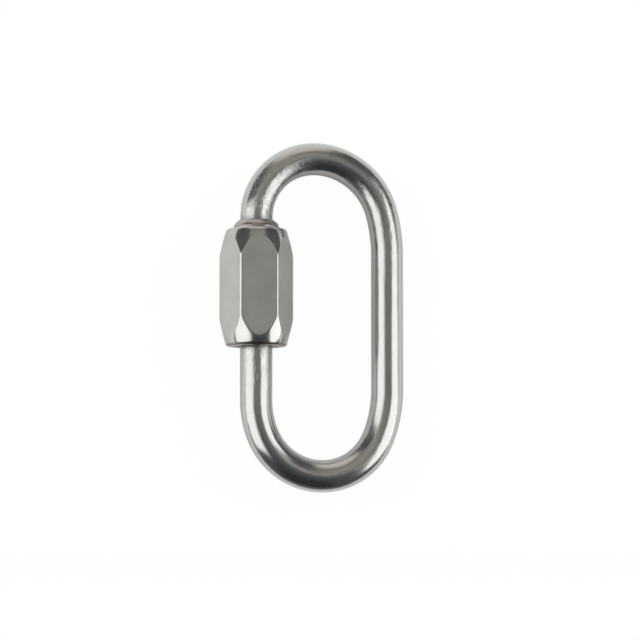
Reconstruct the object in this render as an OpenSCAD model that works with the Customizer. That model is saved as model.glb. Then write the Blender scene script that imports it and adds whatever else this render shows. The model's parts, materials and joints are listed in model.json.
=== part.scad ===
// Chain quick link: a bent round rod whose gate is closed by a long hexagonal sleeve nut.
// It lies as it comes to rest: +Y along the link, +Z up, the nut on the -X leg with one flat down.

/* [Rod] */
// Diameter of the round rod
rod_d = 3.5; // [3:0.1:4]
// Clear length inside the loop, from bow to bow
inside_l = 31; // [29:0.5:40]
// Clear width inside the loop, from leg to leg
inside_w = 11.1; // [9:0.1:14]

/* [Bows] */
// How far the top crown lies towards the nut's leg, where the rod is bent tighter
crown_shift = 0.75; // [0:0.05:1.5]

/* [Gate] */
// Clear opening between the rod tips once the nut is run down
opening = 4.3; // [3.5:0.1:5]
// Length of the short tip inside the closed nut
grip = 2; // [1.4:0.1:3]
// Gap between the closed nut's nose and the start of the bend
seat_gap = 0.4; // [0:0.05:0.6]
// Chamfer on both rod tips
tip_chamfer = 0.4; // [0.1:0.05:0.7]

/* [Nut] */
// Width of the nut across its flats
nut_af = 7; // [6.5:0.1:9]
// Length of the nut's hexagon
nut_l = 12.7; // [11:0.1:14]
// Radius on the nut's six long edges
edge_r = 0.25; // [0.1:0.05:0.5]
// Half angle of the cone turned on each end of the nut, in degrees
taper = 15; // [12:1:25]
// How far each end face lies inside the flats
end_drop = 0.22; // [0.1:0.02:0.4]
// Height of the conical nose that reaches up to the bend
nose_h = 0.95; // [0.5:0.05:1.2]
// Wall of the nose where it leaves the end face
nose_wall = 0.7; // [0.5:0.05:0.9]
// Wall of the nose at its tip
nose_lip = 0.12; // [0.08:0.02:0.3]
// Radial clearance between the bore and the rod
bore_clearance = 0.08; // [0.06:0.01:0.1]
// Countersink at the bore's lower mouth
countersink = 0.6; // [0.4:0.05:0.8]

/* [Hidden] */
$fn = 96;
hex_sides = 6;
half_side = 180 / hex_sides;
// How far a cutter runs past the face that it opens
cut = 1;

// The rod's centre line, with y = 0 in the middle of the loop
rod_r = rod_d / 2;
leg_spacing = inside_w + rod_d;
crown_y = inside_l / 2 + rod_r;
nut_bend_r = leg_spacing / 2 - crown_shift;
back_bend_r = leg_spacing - nut_bend_r;
bottom_bend_r = leg_spacing / 2;
nut_leg_top = crown_y - nut_bend_r;
back_leg_top = crown_y - back_bend_r;
legs_bottom = bottom_bend_r - crown_y;
// The back leg is drawn from both of its bends, in two runs that lap over each other
back_lap = 1;
back_run_l = (back_leg_top - legs_bottom + back_lap) / 2;

// Where the nut and the two rod tips meet on the nut's leg
nose_y = nut_leg_top - seat_gap;
short_tip_y = nose_y - grip;
long_tip_y = short_tip_y - opening;

// The nut's section and its place
apothem = nut_af / 2;
sharp_corner_r = apothem / cos(half_side);
inner_corner_r = (apothem - edge_r) / cos(half_side);
nut_reach = inner_corner_r + edge_r;
end_r = apothem - end_drop;
taper_l = (sharp_corner_r - end_r) / tan(taper);
bore_r = rod_r + bore_clearance;
full_nut_l = nut_l + nose_h;

// At rest a flat of the nut and the back leg both touch the ground, so the loop leans
lean = asin((apothem - rod_r) / leg_spacing);
nut_x = (nut_reach - rod_r - leg_spacing * cos(lean)) / 2;

// Straight run of rod from a bend's end, up the leg (1) or down it (-1), in the shape of its children
module run(x, y, heading) {
    translate([x, y, 0])
        rotate([-heading * 90, 0, 0])
            children();
}

// Rod of a given length whose far end is a chamfered tip
module tipped_rod(length) {
    rotate_extrude()
        polygon([
            [0, 0],
            [rod_r, 0],
            [rod_r, length - tip_chamfer],
            [rod_r - tip_chamfer, length],
            [0, length]
        ]);
}

// Bend of the rod round a centre, counter-clockwise through its sweep from a start angle
module bend(centre, radius, start, sweep) {
    translate(centre)
        rotate_extrude(angle = sweep, start = start)
            translate([radius, 0])
                circle(r = rod_r);
}

// The bent rod: short tip, top bow, back leg, bottom bow and long tip in one piece
module link_body() {
    color("silver")
        translate([nut_x, 0, apothem])
            rotate([0, lean, 0]) {
                run(0, nut_leg_top, -1)
                    tipped_rod(nut_leg_top - short_tip_y);
                bend([nut_bend_r, nut_leg_top], nut_bend_r, 90, 90);
                bend([nut_bend_r, back_leg_top], back_bend_r, 0, 90);
                run(leg_spacing, back_leg_top, -1)
                    cylinder(h = back_run_l, r = rod_r);
                run(leg_spacing, legs_bottom, 1)
                    cylinder(h = back_run_l, r = rod_r);
                bend([bottom_bend_r, legs_bottom], bottom_bend_r, 180, 180);
                run(0, legs_bottom, 1)
                    tipped_rod(long_tip_y - legs_bottom);
            }
}

// Hexagon with round corners: a smaller hexagon, a strip along each side and a disc at each corner
module round_hexagon() {
    circle(r = inner_corner_r, $fn = hex_sides);
    for (side = [0 : hex_sides - 1])
        rotate(side * 2 * half_side) {
            translate([inner_corner_r, 0])
                circle(r = edge_r);
            rotate(half_side)
                translate([0, -inner_corner_r / 2])
                    square([apothem, inner_corner_r]);
        }
}

// Turned outline of the nut from its lower end face to the tip of its nose
module nut_outline() {
    rotate_extrude()
        polygon([
            [0, 0],
            [end_r, 0],
            [sharp_corner_r, taper_l],
            [sharp_corner_r, nut_l - taper_l],
            [end_r, nut_l],
            [bore_r + nose_wall, nut_l],
            [bore_r + nose_lip, full_nut_l],
            [0, full_nut_l]
        ]);
}

// The sleeve nut: hexagonal bar with both ends turned to a cone, a nose, and a bore over the rod
module sleeve_nut() {
    color("darkgray")
        translate([nut_x, nose_y - full_nut_l, apothem])
            rotate([-90, 0, 0])
                difference() {
                    intersection() {
                        linear_extrude(full_nut_l)
                            round_hexagon();
                        nut_outline();
                    }
                    translate([0, 0, -cut])
                        cylinder(h = full_nut_l + 2 * cut, r = bore_r);
                    translate([0, 0, -cut])
                        cylinder(h = countersink + cut, r1 = bore_r + countersink + cut, r2 = bore_r);
                }
}

link_body();
sleeve_nut();
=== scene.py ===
# %% [markdown]
# # A chain quick link in bright steel
# A quick link is a steel rod bent into a loop with a gap in one leg. A long hexagonal nut on that
# leg runs up over the gap and closes it. The CAD frame has both pieces at their real size. This
# lesson makes a finer piece over each of them, with threads, softened edges and a finish of its
# own, and then lights the pair like a small product on a table.

# %% Load the frame
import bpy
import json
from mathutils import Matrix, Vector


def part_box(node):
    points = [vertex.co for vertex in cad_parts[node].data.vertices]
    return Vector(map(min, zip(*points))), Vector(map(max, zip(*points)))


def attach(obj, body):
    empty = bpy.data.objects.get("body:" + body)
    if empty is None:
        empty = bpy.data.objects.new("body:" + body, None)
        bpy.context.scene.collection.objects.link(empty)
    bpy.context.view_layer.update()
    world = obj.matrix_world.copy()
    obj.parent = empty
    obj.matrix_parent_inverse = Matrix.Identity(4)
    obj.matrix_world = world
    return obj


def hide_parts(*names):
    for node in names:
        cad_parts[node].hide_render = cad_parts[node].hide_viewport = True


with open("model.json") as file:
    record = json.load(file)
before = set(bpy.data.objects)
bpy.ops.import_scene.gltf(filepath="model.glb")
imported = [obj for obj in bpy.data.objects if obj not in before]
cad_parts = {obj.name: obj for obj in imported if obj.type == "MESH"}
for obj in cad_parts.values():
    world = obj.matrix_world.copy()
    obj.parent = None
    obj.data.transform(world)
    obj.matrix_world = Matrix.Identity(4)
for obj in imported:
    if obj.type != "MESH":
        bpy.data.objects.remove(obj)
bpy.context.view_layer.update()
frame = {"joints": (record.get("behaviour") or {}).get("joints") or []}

# %% [markdown]
# ## Sizes from the frame
# The link lies as it comes to rest: one flat of the nut and the back leg both touch the ground,
# so the loop leans a little. Every main size can be read from the two CAD boxes, and the scene then
# follows the CAD when a size there changes. Typing the numbers again would be the other way,
# but two lists of sizes drift apart.

# %% Read the main sizes
import json
import math

import bpy
from mathutils import Matrix, Quaternion, Vector

MM = 0.001

rod_low, rod_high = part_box("link_body")
nut_low, nut_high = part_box("sleeve_nut")
apothem = (nut_high.z - nut_low.z) / 2
nut_x = (nut_low.x + nut_high.x) / 2
nut_z = nut_low.z + apothem
rod_r = rod_high.z - nut_z
back_x = rod_high.x - rod_r
back_z = rod_low.z + rod_r
leg_spacing = math.hypot(back_x - nut_x, nut_z - back_z)
lean = math.atan2(nut_z - back_z, back_x - nut_x)
crown_y = rod_high.y - rod_r
travel = frame["joints"][0]["range_m"][1]
print(f"rod {2 * rod_r / MM:.2f} mm thick, legs {leg_spacing / MM:.2f} mm apart")
print(f"the loop leans by {math.degrees(lean):.2f} degrees")

# %% [markdown]
# ## The route of the rod
# The maker bends a straight rod round formers, so its centre line is straight runs and arcs. The
# top is tighter on the nut's side, and each other bend eases into its leg through a shoulder of a
# larger radius, a little differently on each side. A tuck says how much tighter the middle of a bend
# is than a plain quarter turn, and an ease is the angle of its shoulder. A route written as runs and
# bends needs only a few named sizes, and its length is the length of rod that the maker cuts.

# %% Write down the runs and bends
crown_shift = 0.75 * MM
grip = 2.0 * MM
opening = 4.3 * MM
top_tuck = 0.35 * MM
top_ease = math.radians(15)
back_tuck = 0.55 * MM
nut_tuck = 0.2 * MM
bottom_ease = math.radians(22)
quarter = math.pi / 2

nose_y = nut_high.y
short_tip_y = nose_y - grip
long_tip_y = short_tip_y - opening
nut_bend_r = leg_spacing / 2 - crown_shift
back_span = leg_spacing - nut_bend_r
bottom_span = leg_spacing / 2


def run(length):
    """A straight stretch of the route: its length, no radius and no turn."""
    return length, 0, 0


def bend(radius, turn):
    """A bend to the right: its length, its radius and the angle that it turns through."""
    return radius * turn, radius, turn


def shoulder_r(span, tuck, ease):
    """Radius of the easy shoulder that makes up for a bow's tighter middle."""
    return span + tuck * math.cos(ease) / (1 - math.cos(ease))


def bow_rise(crown_r, eased_r, ease):
    """Height of half a bow, from the end of its leg to its crown."""
    return crown_r * (1 - math.sin(ease)) + eased_r * math.sin(ease)


top_crown_r = back_span - top_tuck
top_shoulder_r = shoulder_r(back_span, top_tuck, top_ease)
back_crown_r = bottom_span - back_tuck
back_shoulder_r = shoulder_r(bottom_span, back_tuck, bottom_ease)
nut_crown_r = bottom_span - nut_tuck
nut_shoulder_r = shoulder_r(bottom_span, nut_tuck, bottom_ease)
nut_leg_top = crown_y - nut_bend_r
back_leg_top = crown_y - bow_rise(top_crown_r, top_shoulder_r, top_ease)
back_leg_low = bow_rise(back_crown_r, back_shoulder_r, bottom_ease) - crown_y
nut_leg_low = bow_rise(nut_crown_r, nut_shoulder_r, bottom_ease) - crown_y

route = [
    run(nut_leg_top - short_tip_y),
    bend(nut_bend_r, quarter),
    bend(top_crown_r, quarter - top_ease),
    bend(top_shoulder_r, top_ease),
    run(back_leg_top - back_leg_low),
    bend(back_shoulder_r, bottom_ease),
    bend(back_crown_r, quarter - bottom_ease),
    bend(nut_crown_r, quarter - bottom_ease),
    bend(nut_shoulder_r, bottom_ease),
    run(long_tip_y - nut_leg_low),
]


def rod_after(steps):
    """Length of rod that the first runs and bends of the route take."""
    return sum(length for length, radius, turn in route[:steps])


rod_length = rod_after(len(route))
print(f"{len(route)} runs and bends take {rod_length / MM:.1f} mm of rod")

# %% [markdown]
# ## Helpers for ring modelling
# Both pieces are long and round, so both grow from one circle of vertices that is extruded up the Z
# axis ring by ring, as one would by hand. Later steps then slide each vertex to its final spot.
# The place that a vertex has on the straight, unturned blank is kept as an attribute. Streaks
# and scratches that read it follow the metal round every bend.

# %% Define the ring helpers
def start_ring(name, columns, radius):
    """Adds a bare circle round the Z axis and opens it in edit mode, all selected."""
    bpy.ops.object.select_all(action="DESELECT")
    bpy.ops.mesh.primitive_circle_add(vertices=columns, radius=radius, fill_type="NOTHING")
    piece = bpy.context.object
    piece.name = name
    piece.data.name = name
    bpy.ops.object.mode_set(mode="EDIT")
    bpy.ops.mesh.select_all(action="SELECT")
    return piece


def grow_rings(heights):
    """Extrudes the selected ring up the Z axis, from each height to the next."""
    for low, high in zip(heights, heights[1:]):
        bpy.ops.mesh.extrude_region_move(TRANSFORM_OT_translate={"value": (0, 0, high - low)})


def spaced(start, end, step):
    """Heights after the start, evenly spaced up to the end, about one step apart."""
    count = max(1, round(abs(end - start) / step))
    return [start + (end - start) * (index + 1) / count for index in range(count)]


def select_where(piece, test):
    """Selects the vertices whose place passes a test, with the edges and faces between them."""
    mesh = piece.data
    chosen = [test(vertex.co) for vertex in mesh.vertices]
    for vertex in mesh.vertices:
        vertex.select = chosen[vertex.index]
    for edge in mesh.edges:
        edge.select = all(chosen[index] for index in edge.vertices)
    for face in mesh.polygons:
        face.select = all(chosen[index] for index in face.vertices)


def keep_blank(piece):
    """Stores where every vertex lies on the straight blank."""
    blank = piece.data.attributes.new("blank", "FLOAT_VECTOR", "POINT")
    blank.data.foreach_set("vector", [value for vertex in piece.data.vertices for value in vertex.co])


def clamped(value):
    """The value, held between 0 and 1."""
    return min(max(value, 0), 1)


# %% [markdown]
# ## The straight rod and its threads
# The rod is cut to length, chamfered and threaded before it is bent. The thread could be a
# Screw modifier, but its ends would hang open. Here fine rings are pushed in where the
# groove runs, so the thread fades into the rod and the mesh stays closed. The pitch divides the nut's
# travel into whole turns, so the threads still mesh when the nut has slid down.

# %% Grow the straight rod
turns_of_travel = 9
pitch = travel / turns_of_travel
thread_fade = pitch / 2
plain_neck = 0.1 * MM
short_thread = grip - plain_neck
nut_thread_low = long_tip_y - pitch
long_thread = long_tip_y - nut_thread_low + travel + thread_fade
rod_columns = 96
thread_step = pitch / 12
rod_step = 0.3 * MM

rod_heights = [0]
rod_heights += spaced(0, short_thread, thread_step)
rod_heights += spaced(short_thread, rod_length - long_thread, rod_step)
rod_heights += spaced(rod_length - long_thread, rod_length, thread_step)
rod = start_ring("bent_rod", rod_columns, rod_r)
grow_rings(rod_heights)
bpy.ops.object.mode_set(mode="OBJECT")
keep_blank(rod)
print(f"straight rod: {len(rod_heights)} rings of {rod_columns}")

# %% Cut the threads and chamfer the tips
depth_to_pitch = 0.54
thread_depth = depth_to_pitch * pitch
crest_to = 1 / 8
root_from = 3 / 4
tip_chamfer = 0.4 * MM


def thread_wave(turns):
    """Height of a 60 degree thread for a count of turns: 1 on the crest, 0 in the root."""
    off_crest = 2 * abs(turns - round(turns))
    return clamped((root_from - off_crest) / (root_from - crest_to))


for vertex in rod.data.vertices:
    along = vertex.co.z
    to_tip = min(along, rod_length - along)
    on_short_tip = along < rod_length / 2
    height = short_tip_y + to_tip if on_short_tip else long_tip_y - to_tip
    threaded = short_thread if on_short_tip else long_thread
    turns = height / pitch - math.atan2(vertex.co.y, vertex.co.x) / math.tau
    groove = thread_depth * clamped((threaded - to_tip) / thread_fade) * (1 - thread_wave(turns))
    radius = min(rod_r - groove, rod_r - tip_chamfer + to_tip)
    vertex.co.x *= radius / rod_r
    vertex.co.y *= radius / rod_r
print(f"thread pitch {pitch / MM:.2f} mm, {thread_depth / MM:.2f} mm deep")

# %% Close the two tips
cap_inset = 0.35 * MM
tip_tolerance = thread_step / 10
for tip_height in (0, rod_length):
    select_where(rod, lambda place: abs(place.z - tip_height) < tip_tolerance)
    bpy.ops.object.mode_set(mode="EDIT")
    bpy.ops.mesh.edge_face_add()
    bpy.ops.mesh.inset(thickness=cap_inset)
    bpy.ops.object.mode_set(mode="OBJECT")
print(f"closed rod: {len(rod.data.polygons)} faces")

# %% [markdown]
# ## Bending the rod
# A Curve modifier does what the bending machine does: it lays the straight rod along a guide. The
# guide is a Bezier curve with one knot at each end of a run or bend. A handle of 4/3 tan(turn / 4)
# radii makes a Bezier piece follow an arc to within a few thousandths. The loop is bent flat, and
# then leant over onto its back leg.

# %% Draw the guide
GUIDE_STEPS = 96

guide_data = bpy.data.curves.new("rod_route", "CURVE")
guide_data.dimensions = "3D"
guide_data.twist_mode = "Z_UP"
guide_data.resolution_u = GUIDE_STEPS
spline = guide_data.splines.new("BEZIER")
spline.bezier_points.add(len(route))
place = Vector((0, short_tip_y, 0))
heading = Vector((0, 1, 0))
for knot in spline.bezier_points:
    knot.handle_left_type = "FREE"
    knot.handle_right_type = "FREE"
spline.bezier_points[0].co = place
spline.bezier_points[0].handle_left = place
for index, (length, radius, turn) in enumerate(route):
    reach = radius * math.tan(turn / 4) * 4 / 3 if turn else length / 3
    right_hand = Vector((heading.y, -heading.x, 0))
    spline.bezier_points[index].handle_right = place + heading * reach
    if turn:
        place = place + heading * radius * math.sin(turn) + right_hand * radius * (1 - math.cos(turn))
        heading = heading * math.cos(turn) + right_hand * math.sin(turn)
    else:
        place = place + heading * length
    spline.bezier_points[index + 1].co = place
    spline.bezier_points[index + 1].handle_left = place - heading * reach
spline.bezier_points[-1].handle_right = place
guide = bpy.data.objects.new("rod_route", guide_data)
bpy.context.collection.objects.link(guide)
gap = short_tip_y - place.y
print(f"the route ends {gap / MM:.2f} mm below its start, {abs(place.x) / MM:.3f} mm aside")

# %% Bend the rod and lean it over
SMOOTH_ANGLE = math.radians(32)

bend_along = rod.modifiers.new("bend_along", "CURVE")
bend_along.object = guide
bend_along.deform_axis = "POS_Z"
bpy.ops.object.select_all(action="DESELECT")
rod.select_set(True)
bpy.context.view_layer.objects.active = rod
bpy.ops.object.modifier_apply(modifier="bend_along")
bpy.data.objects.remove(guide)
rod.location = (nut_x, 0, nut_z)
rod.rotation_euler = (0, lean, 0)
bpy.ops.object.transform_apply(location=True, rotation=True, scale=True)
bpy.ops.object.mode_set(mode="EDIT")
bpy.ops.mesh.select_all(action="SELECT")
bpy.ops.mesh.normals_make_consistent(inside=False)
bpy.ops.object.mode_set(mode="OBJECT")
bpy.ops.object.shade_smooth_by_angle(angle=SMOOTH_ANGLE)
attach(rod, "link")
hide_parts("link_body")
rod_top = max(vertex.co.y for vertex in rod.data.vertices)
print(f"bent rod: {len(rod.data.polygons)} faces, top at {rod_top / MM:.2f} mm")

# %% [markdown]
# ## The outline of the nut
# The nut is cut from hexagonal bar, whose six long edges are a little round and catch the light.
# A beveled six-sided cylinder would give those edges, but not the arches that the turned ends cut
# into the flats. So the ring of vertices is laid out along the outline first: some on each round
# edge and more along each flat, with one close to each end to keep the flats flat in the shading.

# %% Lay out the hexagon
HEX_SIDES = 6
edge_r = 0.32 * MM
edge_steps = 8
flat_steps = 14
flat_support = 0.05 * MM
sixth = math.tau / HEX_SIDES
inner_corner_r = (apothem - edge_r) / math.cos(sixth / 2)
flat_length = inner_corner_r


def flat_fractions():
    """Where the vertices lie along a flat, between its two round edges."""
    inner = [index / (flat_steps - 2) for index in range(1, flat_steps - 2)]
    return [flat_support / flat_length] + inner + [1 - flat_support / flat_length]


hexagon = []
for corner in range(HEX_SIDES):
    angle = corner * sixth
    centre = Vector((math.cos(angle), math.sin(angle))) * inner_corner_r
    following = Vector((math.cos(angle + sixth), math.sin(angle + sixth))) * inner_corner_r
    for step in range(edge_steps + 1):
        turned = angle - sixth / 2 + sixth * step / edge_steps
        hexagon.append(centre + Vector((math.cos(turned), math.sin(turned))) * edge_r)
    outward = Vector((math.cos(angle + sixth / 2), math.sin(angle + sixth / 2))) * edge_r
    for fraction in flat_fractions():
        hexagon.append(centre.lerp(following, fraction) + outward)
nut_columns = len(hexagon)
corner_reach = hexagon[edge_steps // 2].length
print(f"hexagon of {nut_columns} points, {corner_reach / MM:.2f} mm to a corner")

# %% [markdown]
# ## The stations of the nut
# Going round the section of the nut's wall, from the lower end face up the outside, over the nose and
# down the bore, each ring is a station. A station says how far out and how high its vertices lie, and
# whether they are turned metal. On the turned ends, which bulge a little, the place depends on the
# column: where the bar is wider, the end reaches further along it, and this draws the arches. A soft
# corner is three points and a few steps between them, so every edge is broken a little as on the
# real nut.

# %% List the outer stations
end_drop = 0.26 * MM
end_slope = math.tan(math.radians(17))
end_reach = 3.25 * MM
nose_h = 0.95 * MM
nose_wall = 0.64 * MM
nose_shoulder = 0.5 * MM
nose_lip = 0.12 * MM
bore_clearance = 0.08 * MM
bore_r = rod_r + bore_clearance
countersink = 0.6 * MM
rim_soft = 0.3 * MM
arch_soft = 0.12 * MM
lip_soft = 0.03 * MM
root_soft = 0.1 * MM
corner_steps = 5
cone_steps = 3

hex_low = nut_low.y
hex_high = nose_y - nose_h
end_r = apothem - end_drop
sharp_corner_r = apothem / math.cos(sixth / 2)
end_curve = (end_slope * end_reach - sharp_corner_r + end_r) / end_reach**2
nose_base_r = bore_r + nose_wall
nose_tip_r = bore_r + nose_lip


def turned_r(depth):
    """Radius of a turned end at a depth from its face. It bulges a little, so it is no plain cone."""
    return end_r + end_slope * depth - end_curve * depth**2


def turned_depth(radius):
    """Depth from the face at which a turned end has grown to a radius."""
    return (end_slope - math.sqrt(end_slope**2 - 4 * end_curve * (radius - end_r))) / (2 * end_curve)


def soft_corner(before, corner, after, fraction):
    """A point on the soft curve from one place past a corner to another, as radius and height."""
    start = (1 - fraction) ** 2
    middle = 2 * fraction * (1 - fraction)
    end = fraction**2
    return tuple(start * b + middle * c + end * a for b, c, a in zip(before, corner, after))


def arch_points(outline_r, end_height, inward):
    """The places round an arch: along the turned end, on the edge, and along the flat."""
    depth = turned_depth(outline_r)
    on_end = (turned_r(depth - arch_soft), end_height + inward * (depth - arch_soft))
    on_edge = (outline_r, end_height + inward * depth)
    on_flat = (outline_r, end_height + inward * (depth + arch_soft))
    return on_end, on_edge, on_flat


def rim_points(end_height, inward):
    """The places round an end face's rim: on the face, on the edge, and along the turned end."""
    on_face = (end_r - rim_soft, end_height)
    on_edge = (end_r, end_height)
    on_end = (turned_r(rim_soft), end_height + inward * rim_soft)
    return on_face, on_edge, on_end


def beside_arch(outline_r, end_height, inward, past):
    """A place close to the arch, on the turned end (past below 0) or on the flat, that keeps it crisp."""
    depth = turned_depth(outline_r) + arch_soft * (past + math.copysign(1, past))
    radius = turned_r(depth) if past < 0 else outline_r
    return radius, end_height + inward * depth


def on_cone(outline_r, end_height, inward, share):
    """A place on the turned end, a share of the way from its rim to its arch."""
    last = turned_depth(outline_r) - 2 * arch_soft
    depth = rim_soft + (last - rim_soft) * share
    return turned_r(depth), end_height + inward * depth


def end_stations(end_height, inward, arch_turned):
    """Stations from an end face to its flats, each with how far it belongs to the turned metal."""
    rows = []
    for step in range(corner_steps):
        part = step / (corner_steps - 1)
        rows.append((lambda r, a, f=part: soft_corner(*rim_points(end_height, inward), f), 1))
    for step in range(1, cone_steps + 1):
        part = step / (cone_steps + 1)
        rows.append((lambda r, a, f=part: on_cone(r, end_height, inward, f), 1))
    rows.append((lambda r, a: beside_arch(r, end_height, inward, -1), 1))
    for step in range(corner_steps):
        part = step / (corner_steps - 1)
        turned_here = max(arch_turned, 1 - part)
        rows.append((
            lambda r, a, f=part: soft_corner(*arch_points(r, end_height, inward), f),
            turned_here,
        ))
    rows.append((lambda r, a: beside_arch(r, end_height, inward, 1), 0))
    return rows


nut_middle = (hex_low + hex_high) / 2
stations = [(lambda r, a: (bore_r + countersink, hex_low), 1)]
stations += end_stations(hex_low, inward=1, arch_turned=1)
stations += [(lambda r, a: (r, nut_middle), 0)]
stations += reversed(end_stations(hex_high, inward=-1, arch_turned=0))
print(f"{len(stations)} stations up the outside of the nut")

# %% [markdown]
# ## The nose and the bore
# Above the hexagon a small nose rises to a shoulder and then leans in to the rod. Inside, the upper
# half of the nut has the thread, and its lower half is a plain skirt that slips over the bare rod
# when the gate is opened. The thread's angle has to match the rod's. One vertex of the rod tells how
# far the bending turned its blank, and the nut's thread starts from there.

# %% List the nose and bore stations
shoulder_h = hex_high + nose_shoulder
nose_slope = (nose_base_r - nose_tip_r) / (nose_y - shoulder_h)
nose_root = [(nose_base_r + root_soft, hex_high), (nose_base_r, hex_high)]
nose_root += [(nose_base_r, hex_high + root_soft)]
nose_turn = [(nose_base_r, shoulder_h - rim_soft), (nose_base_r, shoulder_h)]
nose_turn += [(nose_base_r - rim_soft * nose_slope, shoulder_h + rim_soft)]
nose_rim = [(nose_tip_r + lip_soft * nose_slope, nose_y - lip_soft), (nose_tip_r, nose_y)]
nose_rim += [(nose_tip_r - lip_soft, nose_y)]
for points in (nose_root, nose_turn, nose_rim):
    for step in range(corner_steps):
        part = step / (corner_steps - 1)
        stations.append((lambda r, a, p=points, f=part: soft_corner(*p, f), 1))

marker = rod.data.attributes["blank"].data[0].vector
marker_place = rod.data.vertices[0].co - Vector((nut_x, 0, nut_z))
blank_turn = math.atan2(-marker_place.z, marker_place.x) - math.atan2(marker.y, marker.x)
thread_clearance = 0.07 * MM
minor_r = rod_r - thread_depth + thread_clearance


def bore_place(height, angle):
    """Radius and height on the bore: a thread in the upper half, plain below it."""
    turns = height / pitch - (angle - blank_turn) / math.tau
    depth = (bore_r - minor_r) * (1 - thread_wave(turns))
    faded = clamped((height - nut_thread_low) / thread_fade + 1) * clamped((nose_y - height) / pitch)
    return bore_r - depth * faded, height


for height in [nose_y] + spaced(nose_y, nut_thread_low - pitch, thread_step):
    stations.append((lambda r, a, h=height: bore_place(h, a), 1))
stations.append((lambda r, a: (bore_r, hex_low + countersink), 1))
print(f"{len(stations)} stations in all, thread turned by {math.degrees(blank_turn):.1f} degrees")

# %% [markdown]
# ## Building the nut
# The ring is grown straight, one step for each station, and its vertices are then slid to their
# places. Bridging the last ring to the first closes the wall at the countersink. The nut is
# modelled upright and turned onto its side at the end, with the turn applied to the mesh.

# %% Grow and shape the nut
ring_gap = 1 * MM
edge_wear = 0.8
columns_a_side = nut_columns // HEX_SIDES

nut = start_ring("hexagon_nut", nut_columns, apothem)
grow_rings([index * ring_gap for index in range(len(stations))])
bpy.ops.object.mode_set(mode="OBJECT")
turned_amounts = []
for vertex in nut.data.vertices:
    row = round(vertex.co.z / ring_gap)
    column = round(math.atan2(vertex.co.y, vertex.co.x) / math.tau * nut_columns) % nut_columns
    outline = hexagon[column]
    angle = math.atan2(outline.y, outline.x)
    place_at, turned_amount = stations[row]
    radius, height = place_at(outline.length, angle)
    vertex.co = (radius * math.cos(angle), radius * math.sin(angle), height)
    on_long_edge = column % columns_a_side <= edge_steps
    turned_amounts.append(max(turned_amount, edge_wear if on_long_edge else 0))
turned = nut.data.attributes.new("turned", "FLOAT", "POINT")
turned.data.foreach_set("value", turned_amounts)
keep_blank(nut)
print(f"shaped nut: {len(nut.data.vertices)} vertices")

# %% Close the nut and lay it down
TOUCH = 1e-6
countersink_top = hex_low + countersink
mouth_r = bore_r + countersink


def on_countersink_edge(place):
    """Whether a place is on one of the two open rings that the countersink joins."""
    in_bore = abs(place.z - countersink_top) < TOUCH and place.xy.length < bore_r + TOUCH
    on_face = abs(place.z - hex_low) < TOUCH and abs(place.xy.length - mouth_r) < TOUCH
    return in_bore or on_face


select_where(nut, on_countersink_edge)
bpy.ops.object.mode_set(mode="EDIT")
bpy.ops.mesh.bridge_edge_loops()
bpy.ops.mesh.select_all(action="SELECT")
bpy.ops.mesh.normals_make_consistent(inside=False)
bpy.ops.object.mode_set(mode="OBJECT")
nut.location = (nut_x, 0, nut_z)
nut.rotation_euler = (-quarter, 0, 0)
bpy.ops.object.transform_apply(location=True, rotation=True, scale=True)
bpy.ops.object.shade_smooth_by_angle(angle=SMOOTH_ANGLE)
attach(nut, "nut")
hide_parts("sleeve_nut")
print(f"nut: {len(nut.data.polygons)} faces")

# %% [markdown]
# ## Helpers for node trees
# A finish is a tree of small nodes, and most of them do one of a few jobs: some arithmetic, a change
# of range, a stretch, or a blend of two colours or numbers. Each job gets a short helper, which keeps
# the finishes readable. It takes plain values or the outputs of other nodes, and gives its own output.

# %% Define the node helpers
NUMBER_A = 2
NUMBER_B = 3
COLOUR_A = 6
COLOUR_B = 7
COLOUR_RESULT = 2


def feed(tree, value, socket):
    """Links another node's output to an input socket, or sets a plain value on it."""
    if isinstance(value, bpy.types.NodeSocket):
        tree.links.new(value, socket)
    elif socket.type == "RGBA":
        socket.default_value = (*value, 1)
    else:
        socket.default_value = value


def add_node(tree, kind, label, **values):
    """Adds a node and feeds its input sockets by name, with _ for a space."""
    made = tree.nodes.new(kind)
    made.label = label
    for socket, value in values.items():
        feed(tree, value, made.inputs[socket.replace("_", " ")])
    return made


def add_math(tree, label, operation, *terms):
    """One step of arithmetic. Its terms are numbers or outputs, in the node's own order."""
    made = add_node(tree, "ShaderNodeMath", label)
    made.operation = operation
    for socket, term in zip(made.inputs, terms):
        feed(tree, term, socket)
    return made.outputs[0]


def add_range(tree, label, value, **limits):
    """Takes a value from one range to another. A limit that isn't named is 0 or 1."""
    return add_node(tree, "ShaderNodeMapRange", label, Value=value, **limits).outputs[0]


def add_stretch(tree, label, vector, factors):
    """Multiplies the three parts of a vector by three factors."""
    made = add_node(tree, "ShaderNodeVectorMath", label)
    made.operation = "MULTIPLY"
    feed(tree, vector, made.inputs[0])
    feed(tree, factors, made.inputs[1])
    return made.outputs[0]


def add_blend(tree, label, mask, base, other):
    """Goes from a base number to another one where a mask is white."""
    mix = add_node(tree, "ShaderNodeMix", label, Factor=mask)
    feed(tree, base, mix.inputs[NUMBER_A])
    feed(tree, other, mix.inputs[NUMBER_B])
    return mix.outputs[0]


def add_tint(tree, label, mask, base, tint):
    """Lays a tint over a base colour where a mask is white."""
    mix = add_node(tree, "ShaderNodeMix", label, Factor=mask)
    mix.data_type = "RGBA"
    feed(tree, base, mix.inputs[COLOUR_A])
    feed(tree, tint, mix.inputs[COLOUR_B])
    return mix.outputs[COLOUR_RESULT]


def set_stops(ramp, stops):
    """Gives a colour ramp its stops, each a position from 0 to 1 and a colour."""
    middle = 0.5
    while len(ramp.elements) < len(stops):
        ramp.elements.new(middle)
    for element, (position, colour) in zip(ramp.elements, stops):
        element.position = position
        element.color = (*colour, 1)


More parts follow.
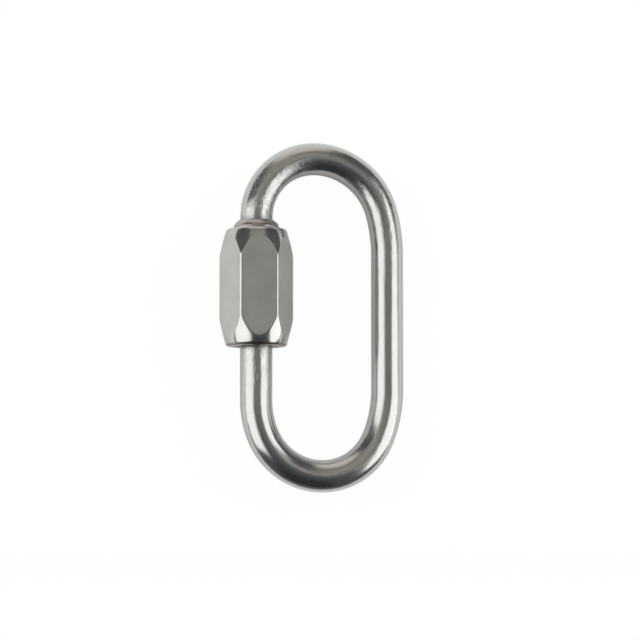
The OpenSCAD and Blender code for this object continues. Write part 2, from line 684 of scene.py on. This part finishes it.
# %% [markdown]
# ## Shared finishes as node groups
# Both pieces show lines from drawing or turning, small pits and marks from handling. Each is a node
# group with named sockets, so both materials use the same effect with their own values. The groups
# read the blank attribute, in which the metal is still straight and its length runs along Z.

# %% Build the lines and the pits
def start_group(name, inputs, output):
    """Starts a node group with a vector input, number inputs and one number output."""
    group = bpy.data.node_groups.new(name, "ShaderNodeTree")
    group.interface.new_socket("Blank", in_out="INPUT", socket_type="NodeSocketVector")
    for label in inputs:
        group.interface.new_socket(label, in_out="INPUT", socket_type="NodeSocketFloat")
    group.interface.new_socket(output, in_out="OUTPUT", socket_type="NodeSocketFloat")
    return group, group.nodes.new("NodeGroupInput").outputs, group.nodes.new("NodeGroupOutput").inputs


def drawn_lines_group():
    """Fine lines: a noise with so many lines to the metre, drawn out along the blank."""
    group, given, result = start_group("Drawn lines", ["Per metre", "Stretch"], "Line")
    across = given["Per metre"]
    along = add_math(group, "lines along", "DIVIDE", across, given["Stretch"])
    scale = add_node(group, "ShaderNodeCombineXYZ", "scale", X=across, Y=across, Z=along)
    stretched = add_stretch(group, "stretched", given["Blank"], scale.outputs[0])
    noise = add_node(group, "ShaderNodeTexNoise", "lines", Scale=1, Detail=3, Roughness=0.65)
    feed(group, stretched, noise.inputs["Vector"])
    spread = add_range(group, "spread", noise.outputs[0], From_Min=0.3, From_Max=0.7)
    feed(group, spread, result["Line"])
    return group


def pits_group():
    """Small round pits: the middles of a share of cells, so many cells to the metre."""
    group, given, result = start_group("Pits", ["Per metre", "Size", "Share"], "Pit")
    cells = add_node(group, "ShaderNodeTexVoronoi", "cells", Vector=given["Blank"])
    feed(group, given["Per metre"], cells.inputs["Scale"])
    dot = add_node(group, "ShaderNodeMapRange", "dot", From_Max=given["Size"], To_Min=1, To_Max=0)
    dot.interpolation_type = "SMOOTHSTEP"
    feed(group, cells.outputs["Distance"], dot.inputs["Value"])
    number = add_node(group, "ShaderNodeSeparateColor", "cell number", Color=cells.outputs["Color"])
    kept = add_math(group, "kept", "LESS_THAN", number.outputs[0], given["Share"])
    pit = add_math(group, "pit", "MULTIPLY", dot.outputs[0], kept)
    feed(group, pit, result["Pit"])
    return group


drawn_lines = drawn_lines_group()
pits = pits_group()
print("node groups:", [group.name for group in (drawn_lines, pits)])

# %% Build the scuffs
PATCH_STRETCH = (3, 3, 1)
PATCH_EDGE = 0.15
CRINKLE_STRETCH = (1, 1, 0.3)


def scuffs_group():
    """Handling marks: crinkled lines that show only in scattered patches."""
    group, given, result = start_group("Scuffs", ["Per metre", "Patches per metre", "Cover"], "Scuff")
    cover = given["Cover"]
    narrower = add_stretch(group, "narrower round", given["Blank"], PATCH_STRETCH)
    patches = add_node(group, "ShaderNodeTexNoise", "patches", Vector=narrower, Detail=1)
    feed(group, given["Patches per metre"], patches.inputs["Scale"])
    full = add_math(group, "full cover", "ADD", cover, PATCH_EDGE)
    patch = add_range(group, "patch edge", patches.outputs[0], From_Min=cover, From_Max=full)
    longer = add_stretch(group, "longer along", given["Blank"], CRINKLE_STRETCH)
    crinkle = add_node(group, "ShaderNodeTexNoise", "crinkle", Detail=2, Roughness=0.6, Distortion=1.2)
    feed(group, longer, crinkle.inputs["Vector"])
    feed(group, given["Per metre"], crinkle.inputs["Scale"])
    ridge = add_range(group, "ridge", crinkle.outputs[0], From_Min=0.42, From_Max=0.62)
    scuff = add_math(group, "scuff", "MULTIPLY", patch, ridge)
    feed(group, scuff, result["Scuff"])
    return group


scuffs = scuffs_group()
print("node group:", scuffs.name)

# %% [markdown]
# ## Where the rod is worn
# A link in use isn't worn alike all round. The bend above the nut and the leg below it are crinkled
# from bending and handling, and the long back leg is nearly clean. Where the rod leaves the nut it is
# dull in a narrow collar, and its colour there is darkened with painted shade where the nut meets it.
# Both could be painted by hand, but the rod has one simple coordinate, its length. So each is a ramp
# along that length, placed from the runs and bends of the route.

# %% Mark the worn stretches
wear_fade = 4 * MM
collar_l = 0.6 * MM

top_crown = rod_after(2)
top_bow_end = rod_after(4)
bottom_bow_start = rod_after(5)
bottom_bow_end = rod_after(9)
nut_end = rod_length - long_tip_y + hex_low
wear_levels = [
    (grip, 0),
    (grip + collar_l, 0.8),
    (top_crown - wear_fade, 0.8),
    (top_crown, 0.12),
    (top_crown + wear_fade, 0.45),
    (top_bow_end, 0.45),
    (top_bow_end + wear_fade, 0.06),
    (bottom_bow_start, 0.06),
    (bottom_bow_start + wear_fade, 0.18),
    (bottom_bow_end, 0.18),
    (nut_end, 1),
    (nut_end + collar_l, 0),
]
collar_levels = []
for collar_at in (grip, nut_end):
    collar_levels += [(collar_at - collar_l, 0), (collar_at, 1), (collar_at + collar_l, 0)]


def add_rod_mask(tree, label, along, levels):
    """A mask that changes along the rod, from pairs of a distance and a level."""
    mask = add_node(tree, "ShaderNodeValToRGB", label, Fac=along)
    stops = [(distance / rod_length, (level, level, level)) for distance, level in levels]
    set_stops(mask.color_ramp, stops)
    return mask.outputs["Color"]


print(f"wear changes at {len(wear_levels)} places, the collars are {collar_l / MM:.1f} mm long")

# %% [markdown]
# ## The polished rod
# The rod is stainless steel, drawn and then polished, so it mirrors the lamps in long strips whose
# edges are a little soft. A plain glossy metal would look like chrome. Fine lines along the rod vary
# its roughness, very low waves make the strips wander, and pits and scuffs break them here and there.

# %% Define how a metal starts
def start_metal(name):
    """A metal material with its node tree, its shader and the place of each point on the blank."""
    material = bpy.data.materials.new(name)
    material.use_nodes = True
    tree = material.node_tree
    tree.nodes.clear()
    output = tree.nodes.new("ShaderNodeOutputMaterial")
    shader = add_node(tree, "ShaderNodeBsdfPrincipled", "steel", Metallic=1)
    feed(tree, shader.outputs["BSDF"], output.inputs["Surface"])
    blank = add_node(tree, "ShaderNodeAttribute", "blank")
    blank.attribute_name = "blank"
    return material, tree, shader, blank.outputs["Vector"]


def place_group(tree, group, blank, **values):
    """Places a node group that reads the blank, with its own values, and gives its output."""
    placed = tree.nodes.new("ShaderNodeGroup")
    placed.node_tree = group
    feed(tree, blank, placed.inputs["Blank"])
    for socket, value in values.items():
        placed.inputs[socket.replace("_", " ")].default_value = value
    return placed.outputs[0]


def add_bump(tree, label, height, distance, normal=None):
    """Adds a bump of a given height in metres, on top of an earlier normal."""
    bump = add_node(tree, "ShaderNodeBump", label, Height=height, Distance=distance)
    if normal:
        feed(tree, normal, bump.inputs["Normal"])
    return bump.outputs["Normal"]


# %% Make the rod's material
ROD_STEEL = (0.525, 0.52, 0.505)
# Painted shade: the darker colour of the rod where the nut meets it.
COLLAR_PAINTED_SHADE = (0.33, 0.325, 0.315)
ROD_PIT = (0.16, 0.14, 0.12)
ROD_SMOOTHEST = 0.14
ROD_ROUGHEST = 0.22
SCUFF_ADDS = 0.12
COLLAR_ADDS = 0.2
WAVES_PER_METRE = 420
WAVE_HEIGHT = 30e-6
ROD_LINE_HEIGHT = 0.35e-6
ROD_SCUFF_HEIGHT = 13e-6
ROD_PIT_HEIGHT = -20e-6


def polished_rod():
    """Polished drawn rod: near mirror, with fine lines, low waves, pits and scuffs."""
    material, tree, shader, blank = start_metal("polished_rod")
    lines = place_group(tree, drawn_lines, blank, Per_metre=9000, Stretch=60)
    dots = place_group(tree, pits, blank, Per_metre=420, Size=0.09, Share=0.35)
    marks = place_group(tree, scuffs, blank, Per_metre=3000, Patches_per_metre=230, Cover=0.33)
    waves = add_node(tree, "ShaderNodeTexNoise", "low waves", Vector=blank, Scale=WAVES_PER_METRE, Detail=1)
    place = add_node(tree, "ShaderNodeSeparateXYZ", "place", Vector=blank)
    along = add_range(tree, "along the rod", place.outputs["Z"], From_Max=rod_length)
    wear = add_rod_mask(tree, "wear", along, wear_levels)
    collar = add_rod_mask(tree, "collars", along, collar_levels)
    crinkle = add_math(tree, "worn scuffs", "MULTIPLY", marks, wear)

    # Painted shade: the collar tint darkens the rod where it meets the nut. The collar roughness below adds
    # its real dullness.
    steel = add_tint(tree, "painted shade at the collars", collar, ROD_STEEL, COLLAR_PAINTED_SHADE)
    steel = add_tint(tree, "pit colour", dots, steel, ROD_PIT)
    feed(tree, steel, shader.inputs["Base Color"])

    rough = add_range(tree, "line roughness", lines, To_Min=ROD_SMOOTHEST, To_Max=ROD_ROUGHEST)
    rough = add_math(tree, "scuff roughness", "MULTIPLY_ADD", crinkle, SCUFF_ADDS, rough)
    rough = add_math(tree, "collar roughness", "MULTIPLY_ADD", collar, COLLAR_ADDS, rough)
    feed(tree, rough, shader.inputs["Roughness"])

    normal = add_bump(tree, "low waves", waves.outputs[0], WAVE_HEIGHT)
    normal = add_bump(tree, "drawn lines", lines, ROD_LINE_HEIGHT, normal)
    normal = add_bump(tree, "scuffs", crinkle, ROD_SCUFF_HEIGHT, normal)
    normal = add_bump(tree, "pits", dots, ROD_PIT_HEIGHT, normal)
    feed(tree, normal, shader.inputs["Normal"])
    return material


rod.data.materials.clear()
rod.data.materials.append(polished_rod())
print("rod finish:", rod.data.materials[0].name)

# %% [markdown]
# ## The satin nut
# The flats keep the satin skin of the drawn bar, with lines along the nut. The cones, the end faces
# and the nose are turned, so they are brighter and carry fine rings. The turned attribute, stored
# while the nut was shaped, says which metal is which and is 0 on the flats. The steel is stained in
# soft patches, and the nose and the lower face are dull from handling. A dark band along the lower
# rim is a painted reflection of the dark surroundings that the rounded rim mirrors.

# %% Make the nut's material
NUT_STEEL = (0.62, 0.615, 0.595)
NUT_STAIN = (0.46, 0.455, 0.435)
DULL_END = (0.42, 0.395, 0.365)
# Painted reflection: the dark band that the rounded lower rim mirrors.
RIM_PAINTED_REFLECTION = (0.22, 0.18, 0.15)
NUT_PIT = (0.2, 0.18, 0.15)
FLAT_SMOOTHEST = 0.42
FLAT_ROUGHEST = 0.5
TURNED_SMOOTHEST = 0.12
TURNED_ROUGHEST = 0.22
END_ROUGHNESS = 0.3
STAINS_PER_METRE = 330
GRAIN_HEIGHT = 0.15e-6
NUT_SCUFF_HEIGHT = 6e-6
NUT_PIT_HEIGHT = -15e-6


def satin_nut():
    """Drawn hexagon bar with turned ends: satin along the flats, brighter and ringed on the cones."""
    material, tree, shader, blank = start_metal("satin_nut")
    lines = place_group(tree, drawn_lines, blank, Per_metre=14000, Stretch=90)
    rings = place_group(tree, drawn_lines, blank, Per_metre=300, Stretch=0.012)
    dots = place_group(tree, pits, blank, Per_metre=700, Size=0.06, Share=0.2)
    marks = place_group(tree, scuffs, blank, Per_metre=2200, Patches_per_metre=240, Cover=0.6)
    turned_part = add_node(tree, "ShaderNodeAttribute", "turned")
    turned_part.attribute_name = "turned"
    is_turned = turned_part.outputs["Fac"]
    stain = add_node(tree, "ShaderNodeTexNoise", "stains", Detail=4, Roughness=0.6)
    feed(tree, blank, stain.inputs["Vector"])
    feed(tree, STAINS_PER_METRE, stain.inputs["Scale"])

    place = add_node(tree, "ShaderNodeSeparateXYZ", "place", Vector=blank)
    along = place.outputs["Z"]
    rim_top = hex_low + root_soft
    nose = add_range(tree, "nose", along, From_Min=hex_high, From_Max=hex_high + root_soft)
    above = add_range(tree, "above the rim", along, From_Min=hex_low, From_Max=rim_top)
    below = add_range(tree, "below the cone", along, From_Min=hex_low + rim_soft, From_Max=rim_top)
    ends = add_math(tree, "nose and lower face", "MAXIMUM", nose, below)
    # Painted reflection: a narrow band on the lower rim, darkened as if it mirrored the dark room.
    painted_rim_reflection = add_math(tree, "painted dark reflection on the rim", "MULTIPLY", above, below)

    steel = add_tint(tree, "stained steel", stain.outputs[0], NUT_STEEL, NUT_STAIN)
    steel = add_tint(tree, "dull ends", ends, steel, DULL_END)
    steel = add_tint(tree, "dark rim painted reflection", painted_rim_reflection, steel, RIM_PAINTED_REFLECTION)
    steel = add_tint(tree, "pit colour", dots, steel, NUT_PIT)
    feed(tree, steel, shader.inputs["Base Color"])

    flat_rough = add_range(tree, "flat roughness", lines, To_Min=FLAT_SMOOTHEST, To_Max=FLAT_ROUGHEST)
    turned_rough = add_range(
        tree, "turned roughness", rings, To_Min=TURNED_SMOOTHEST, To_Max=TURNED_ROUGHEST
    )
    rough = add_blend(tree, "flat or turned", is_turned, flat_rough, turned_rough)
    rough = add_blend(tree, "dull end roughness", ends, rough, END_ROUGHNESS)
    feed(tree, rough, shader.inputs["Roughness"])

    grain = add_blend(tree, "line or ring", is_turned, lines, rings)
    normal = add_bump(tree, "lines and rings", grain, GRAIN_HEIGHT)
    normal = add_bump(tree, "scuffs", marks, NUT_SCUFF_HEIGHT, normal)
    normal = add_bump(tree, "pits", dots, NUT_PIT_HEIGHT, normal)
    feed(tree, normal, shader.inputs["Normal"])
    return material


nut.data.materials.clear()
nut.data.materials.append(satin_nut())
print("nut finish:", nut.data.materials[0].name)

# %% [markdown]
# ## The floor
# The link lies on a white card that takes its shadow. In front of the link the card's colour fades
# to grey, a painted shade that stands in for shade on the table on the viewer's side. The steel
# mirrors that grey, which keeps the lower bow dark almost to its edge, as in the photograph. Where
# the camera looks, a plain white glow is mixed in, so the card and the painted shade are both white
# to the edges of the picture without more light on the link. Light Path tells the camera's looks
# from the mirrored ones.

# %% Lay the floor
FLOOR_RADIUS = 1.5
FLOOR_SIDES = 96
FLOOR_DROP = 0.02 * MM

bpy.ops.object.select_all(action="DESELECT")
bpy.ops.mesh.primitive_circle_add(
    vertices=FLOOR_SIDES, radius=FLOOR_RADIUS, fill_type="NGON", location=(0, 0, -FLOOR_DROP)
)
floor = bpy.context.object
floor.name = "floor"
print("floor radius", FLOOR_RADIUS)

# %% Paint the floor
CARD_END = -0.030
CARD_FADE = 0.006
CARD_WHITE = (0.94, 0.94, 0.94)
# Painted shade: the grey where the card ends stands in for shade on the viewer's side of the table.
NEAR_SIDE_SHADE = (0.12, 0.12, 0.125)
CAMERA_GLOW = 0.97
MIRROR_GLOW = 0.02


def card_and_painted_shade():
    """A matt white card with a painted grey shade on the viewer's side, and a white glow for the camera."""
    material = bpy.data.materials.new("white_table")
    material.use_nodes = True
    tree = material.node_tree
    tree.nodes.clear()
    where = add_node(tree, "ShaderNodeTexCoord", "where on the table")
    parts = add_node(tree, "ShaderNodeSeparateXYZ", "parts", Vector=where.outputs["Object"])
    card_start = CARD_END + CARD_FADE
    card = add_range(tree, "white card", parts.outputs["Y"], From_Min=CARD_END, From_Max=card_start)
    # Painted shade: the floor turns grey in front of the link.
    colour = add_tint(tree, "card and painted near shade", card, NEAR_SIDE_SHADE, CARD_WHITE)
    matt = add_node(tree, "ShaderNodeBsdfDiffuse", "matt", Color=colour)
    glow = add_node(tree, "ShaderNodeEmission", "white glow", Strength=1)

    ray = add_node(tree, "ShaderNodeLightPath", "who looks").outputs
    seen = add_math(tree, "camera or glass", "MAXIMUM", ray["Is Camera Ray"], ray["Is Transmission Ray"])
    share_here = add_range(tree, "share on the card", card, To_Min=1, To_Max=CAMERA_GLOW)
    seen_share = add_math(tree, "camera share", "MULTIPLY", seen, share_here)
    share = add_math(tree, "with mirrors", "MULTIPLY_ADD", ray["Is Glossy Ray"], MIRROR_GLOW, seen_share)
    both = add_node(tree, "ShaderNodeMixShader", "table", Fac=share)
    feed(tree, matt.outputs[0], both.inputs[1])
    feed(tree, glow.outputs[0], both.inputs[2])
    output = tree.nodes.new("ShaderNodeOutputMaterial")
    feed(tree, both.outputs[0], output.inputs["Surface"])
    return material


floor.data.materials.append(card_and_painted_shade())
print("floor finish:", floor.data.materials[0].name)

# %% [markdown]
# ## The lamps
# Bright steel shows its surroundings, so the lamps are shaped as much for what the metal mirrors as
# for the light they give. A tall softbox stands on each side. The left one has a dimmer fringe along
# its top, the right one is slanted, and a dim strip under the right one is the edge of the table. Two
# low suns that the metal doesn't mirror bring the card to its full level.

# %% Hang the softboxes
LEFT = -1
RIGHT = 1
WATTS_PER_LEVEL = math.pi
LAMP_DISTANCE = 0.35


def add_softbox(name, side, high, low, near, far, slant, level):
    """A softbox on one side of the link, between two angles from overhead in degrees.

    It runs from a near edge on the viewer's side to a far edge, in metres. The slant lowers its
    near end by an angle in degrees, and a level of 1 is white.
    """
    high_angle = math.radians(high)
    low_angle = math.radians(low)
    top = Vector((side * math.sin(high_angle), 0, math.cos(high_angle))) * LAMP_DISTANCE
    bottom = Vector((side * math.sin(low_angle), 0, math.cos(low_angle))) * LAMP_DISTANCE
    data = bpy.data.lights.new(name, "AREA")
    data.shape = "RECTANGLE"
    data.size = far - near
    data.size_y = (top - bottom).length
    data.energy = level * WATTS_PER_LEVEL * data.size * data.size_y
    softbox = bpy.data.objects.new(name, data)
    middle = (top + bottom) / 2
    softbox.location = middle + Vector((0, (near + far) / 2, 0))
    facing = (-middle).to_track_quat("-Z", "Y")
    tilt = Quaternion((0, 0, 1), side * math.radians(slant))
    softbox.rotation_euler = (facing @ tilt).to_euler()
    bpy.context.collection.objects.link(softbox)


add_softbox("left_softbox", LEFT, high=30, low=86, near=-0.22, far=0.12, slant=0, level=1.55)
add_softbox("left_fringe", LEFT, high=22, low=30, near=-0.22, far=0.12, slant=0, level=0.7)
add_softbox("right_softbox", RIGHT, high=37, low=77, near=-0.226, far=0.134, slant=40, level=1.65)
add_softbox("right_table_edge", RIGHT, high=77, low=90, near=-0.11, far=0.1, slant=0, level=0.65)

# %% Hang the suns
SUN_STRENGTH = 1.6
SUN_WIDTH = math.radians(40)
SUN_FROM_BEHIND = math.radians(28)
SUN_FROM_OVERHEAD = math.radians(60)


def add_side_sun(name, side):
    """A low, soft sun from one side that lights the card and isn't mirrored."""
    data = bpy.data.lights.new(name, "SUN")
    data.energy = SUN_STRENGTH
    data.angle = SUN_WIDTH
    sun = bpy.data.objects.new(name, data)
    sun.rotation_euler = (-SUN_FROM_BEHIND, side * SUN_FROM_OVERHEAD, 0)
    sun.visible_glossy = False
    bpy.context.collection.objects.link(sun)


add_side_sun("left_sun", LEFT)
add_side_sun("right_sun", RIGHT)
print("suns at", round(math.degrees(SUN_FROM_OVERHEAD)), "degrees from overhead")

# %% [markdown]
# ## The room
# Between the lamps the metal mirrors the room. Behind the link it is a pale warm grey with a darker
# seam, and it falls to near black on the side of the viewer. An image of a room would be the other
# way, but a ramp from near to far needs only a dozen levels and can be read.

# %% Paint the room
SIDE_LEVEL = 0.11
SIDES_START = 0.33
SIDES_FULL = 0.5
NEAR_TINT = (0.9, 1.0, 1.04)
FAR_TINT = (1.05, 1.0, 0.92)
room_levels = [(-90, 0.045), (-45, 0.05), (-30, 0.08), (-8, 0.14), (0, 0.22), (18, 0.41), (36, 0.4)]
room_levels += [(43, 0.28), (47, 0.28), (54, 0.55), (64, 0.8), (90, 0.9)]

wall_stops = []
for degrees, level in room_levels:
    tint = NEAR_TINT if degrees < 0 else FAR_TINT
    wall_stops.append(((math.sin(math.radians(degrees)) + 1) / 2, [level * part for part in tint]))

world = bpy.data.worlds.new("dim_room")
world.use_nodes = True
bpy.context.scene.world = world
room = world.node_tree
direction = add_node(room, "ShaderNodeTexCoord", "direction")
parts = add_node(room, "ShaderNodeSeparateXYZ", "parts", Vector=direction.outputs["Generated"])
depth = add_range(room, "near to far", parts.outputs["Y"], From_Min=-1)
walls = add_node(room, "ShaderNodeValToRGB", "walls", Fac=depth)
set_stops(walls.color_ramp, wall_stops)
outward = add_math(room, "how far aside", "ABSOLUTE", parts.outputs["X"])
aside = add_range(room, "aside", outward, From_Min=SIDES_START, From_Max=SIDES_FULL)
side_colour = (SIDE_LEVEL, SIDE_LEVEL, SIDE_LEVEL)
room_colour = add_tint(room, "dark corners", aside, walls.outputs["Color"], side_colour)
feed(room, room_colour, room.nodes["Background"].inputs["Color"])
print("room:", len(wall_stops), "levels")

# %% [markdown]
# ## The camera
# The photograph looks almost straight down through a long lens, a little from the left and from the
# lower end of the link. The aim point and the width of the view at the link fix the framing.

# %% Set the camera
IMAGE_SIDE = 640
SENSOR_WIDTH = 36
NEAREST_SEEN = 0.01
pixels_per_mm = 9.22
camera_distance = 280 * MM
aim = Vector((0.904, -0.32, 2.6)) * MM
from_left = math.radians(6.8)
from_below = math.radians(5.0)

camera_data = bpy.data.cameras.new("photo_camera")
camera_data.sensor_width = SENSOR_WIDTH
camera_data.lens = SENSOR_WIDTH * pixels_per_mm / MM * camera_distance / IMAGE_SIDE
camera_data.clip_start = NEAREST_SEEN
camera = bpy.data.objects.new("photo_camera", camera_data)
bpy.context.collection.objects.link(camera)
back = Vector((-math.tan(from_left), -math.tan(from_below), 1)).normalized()
up = (Vector((0, 1, 0)) - back * back.y).normalized()
right = up.cross(back)
facing = Matrix((right, up, back)).transposed().to_4x4()
camera.matrix_world = Matrix.Translation(aim + back * camera_distance) @ facing
bpy.context.scene.camera = camera
bpy.context.scene.view_settings.view_transform = "Standard"
print(f"lens {camera_data.lens:.1f} mm")
